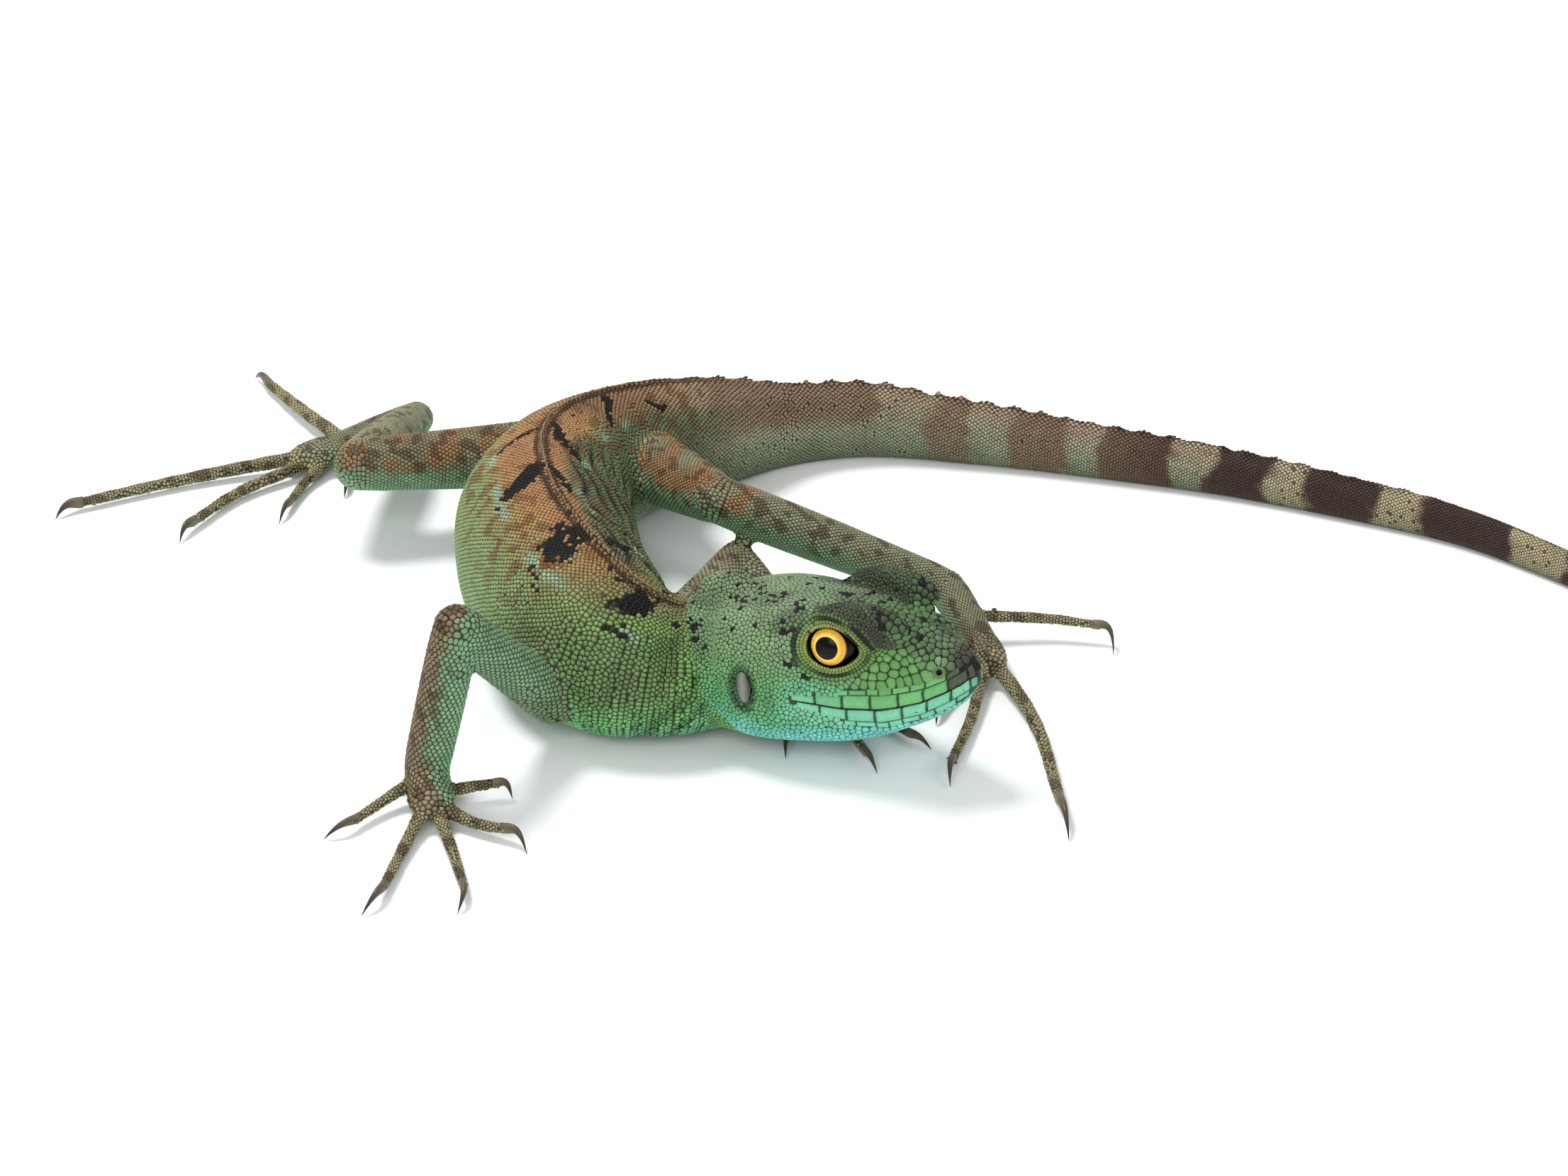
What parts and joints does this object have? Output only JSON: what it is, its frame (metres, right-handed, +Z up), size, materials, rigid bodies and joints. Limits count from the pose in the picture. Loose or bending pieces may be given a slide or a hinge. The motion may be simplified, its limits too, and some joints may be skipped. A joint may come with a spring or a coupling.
{
  "type": "life-size lizard figure",
  "caption": "Young green basilisk, life-size: trunk curled round beside the raised head, toes spread, long banded tail laid out behind on the floor.",
  "frame": {"origin": "middle of the model's box, on the floor it lies on", "axes": "+Z up from the floor, +X along the laid-out tail towards its tip, -Y towards the side that the head faces"},
  "size_m": [0.337, 0.1342, 0.0245],
  "materials": {
    "head": "matte",
    "jaw": "matte",
    "eye": "gloss",
    "ear": "matte",
    "neck": "matte",
    "torso": "matte",
    "tail": "matte",
    "limb": "matte",
    "claw": "satin"
  },
  "bodies": {
    "root": {"claw_foot_left_1": "claw", "claw_foot_left_2": "claw", "claw_foot_left_3": "claw", "claw_foot_left_4": "claw", "claw_foot_left_5": "claw", "claw_foot_right_1": "claw", "claw_foot_right_2": "claw", "claw_foot_right_3": "claw", "claw_foot_right_4": "claw", "claw_foot_right_5": "claw", "claw_hand_left_1": "claw", "claw_hand_left_2": "claw", "claw_hand_left_3": "claw", "claw_hand_left_4": "claw", "claw_hand_left_5": "claw", "claw_hand_right_1": "claw", "claw_hand_right_2": "claw", "claw_hand_right_3": "claw", "claw_hand_right_4": "claw", "claw_hand_right_5": "claw", "ear_left": "ear", "ear_right": "ear", "eye_left": "eye", "eye_right": "eye", "foot_left": "limb", "foot_right": "limb", "forearm_left": "limb", "forearm_right": "limb", "hand_left": "limb", "hand_right": "limb", "head": "head", "head_crest": "head", "lower_jaw": "jaw", "neck": "neck", "pelvis": "torso", "shank_left": "limb", "shank_right": "limb", "tail_1": "tail", "tail_2": "tail", "tail_3": "tail", "tail_4": "tail", "tail_5": "tail", "tail_6": "tail", "thigh_left": "limb", "thigh_right": "limb", "torso_front": "torso", "torso_rear": "torso", "upper_arm_left": "limb", "upper_arm_right": "limb"}
  },
  "joints": []
}
